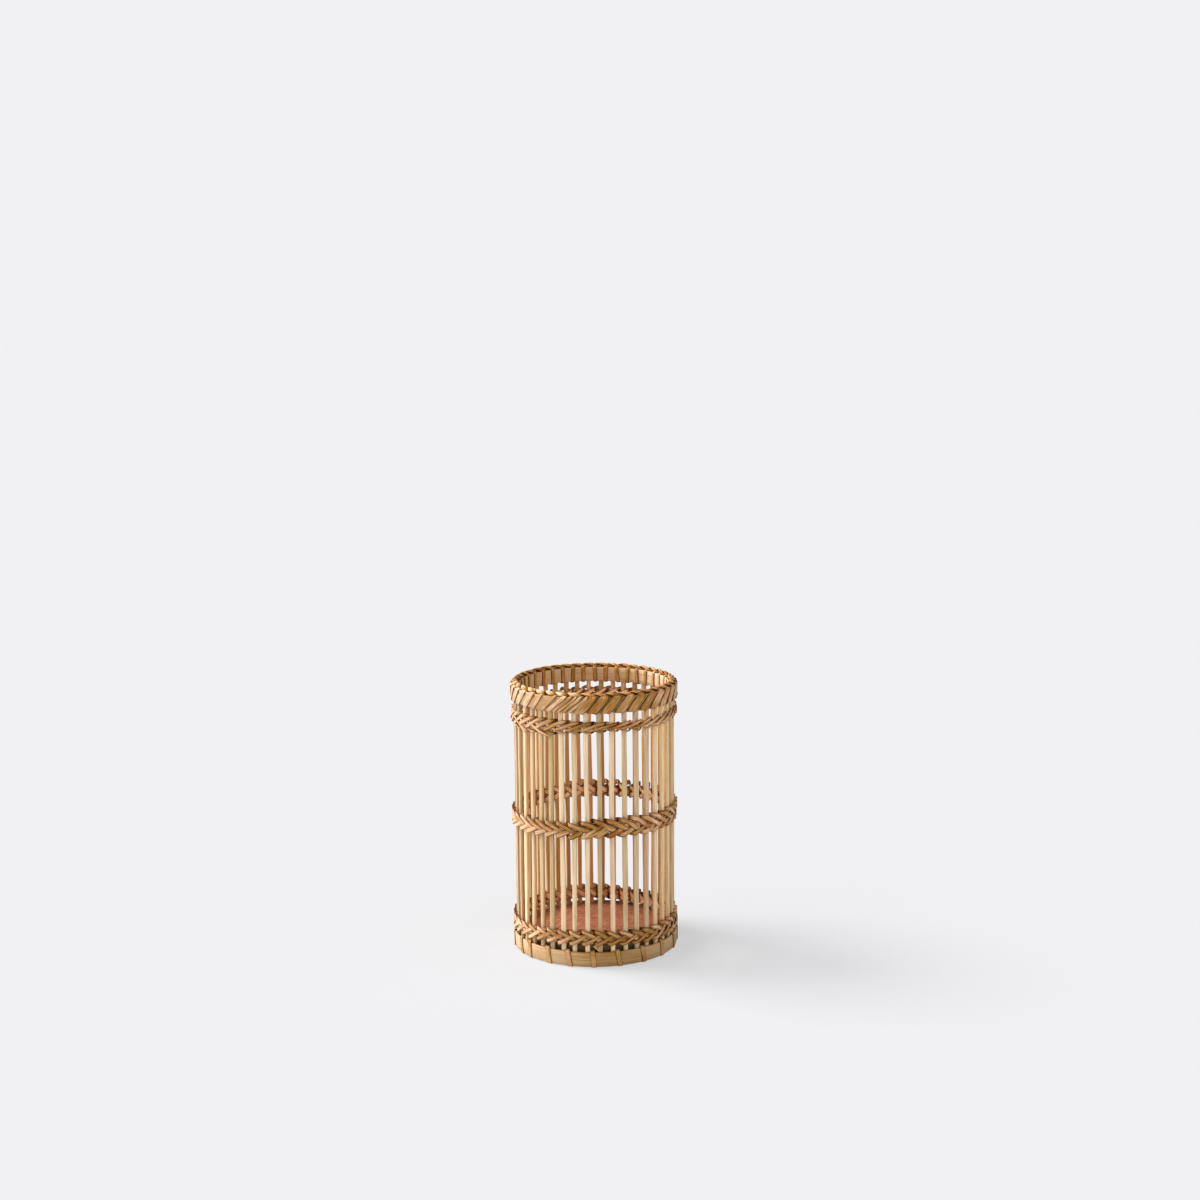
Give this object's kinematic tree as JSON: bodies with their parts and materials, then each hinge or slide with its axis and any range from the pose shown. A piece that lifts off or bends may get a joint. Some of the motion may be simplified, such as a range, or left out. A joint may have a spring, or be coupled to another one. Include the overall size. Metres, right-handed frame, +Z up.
{
  "type": "bamboo utensil holder",
  "caption": "Round open cage of upright bamboo staves between a lashed rim and base, tied by twined bands, with a wooden base board.",
  "frame": {"origin": "centre of the base on the surface that the holder stands on", "axes": "+Z up along the holder's axis, -Y towards the front of the picture, +X to its right"},
  "size_m": [0.0918, 0.0918, 0.1492],
  "materials": {
    "bamboo_stave": "split bamboo, satin",
    "bamboo_hoop": "flat bamboo strip, fine grain, satin",
    "band_strand": "split cane, satin",
    "lashing_strip": "split cane, satin",
    "base_plywood": "reddish plywood, matt"
  },
  "bodies": {
    "root": {"stave_01": "bamboo_stave", "stave_02": "bamboo_stave", "stave_03": "bamboo_stave", "stave_04": "bamboo_stave", "stave_05": "bamboo_stave", "stave_06": "bamboo_stave", "stave_07": "bamboo_stave", "stave_08": "bamboo_stave", "stave_09": "bamboo_stave", "stave_10": "bamboo_stave", "stave_11": "bamboo_stave", "stave_12": "bamboo_stave", "stave_13": "bamboo_stave", "stave_14": "bamboo_stave", "stave_15": "bamboo_stave", "stave_16": "bamboo_stave", "stave_17": "bamboo_stave", "stave_18": "bamboo_stave", "stave_19": "bamboo_stave", "stave_20": "bamboo_stave", "stave_21": "bamboo_stave", "stave_22": "bamboo_stave", "stave_23": "bamboo_stave", "stave_24": "bamboo_stave", "stave_25": "bamboo_stave", "stave_26": "bamboo_stave", "stave_27": "bamboo_stave", "stave_28": "bamboo_stave", "stave_29": "bamboo_stave", "stave_30": "bamboo_stave", "stave_31": "bamboo_stave", "stave_32": "bamboo_stave", "stave_33": "bamboo_stave", "stave_34": "bamboo_stave", "stave_35": "bamboo_stave", "stave_36": "bamboo_stave", "stave_37": "bamboo_stave", "stave_38": "bamboo_stave", "stave_39": "bamboo_stave", "stave_40": "bamboo_stave", "rim_outer_hoop": "bamboo_hoop", "rim_inner_hoop": "bamboo_hoop", "base_outer_hoop": "bamboo_hoop", "base_inner_hoop": "bamboo_hoop", "base_board": "base_plywood", "lower_band_bottom_strand_a": "band_strand", "lower_band_bottom_strand_b": "band_strand", "lower_band_top_strand_a": "band_strand", "lower_band_top_strand_b": "band_strand", "middle_band_bottom_strand_a": "band_strand", "middle_band_bottom_strand_b": "band_strand", "middle_band_top_strand_a": "band_strand", "middle_band_top_strand_b": "band_strand", "upper_band_bottom_strand_a": "band_strand", "upper_band_bottom_strand_b": "band_strand", "upper_band_top_strand_a": "band_strand", "upper_band_top_strand_b": "band_strand", "rim_lashing": "lashing_strip", "base_lashing": "lashing_strip", "rim_cord": "band_strand"}
  },
  "joints": []
}
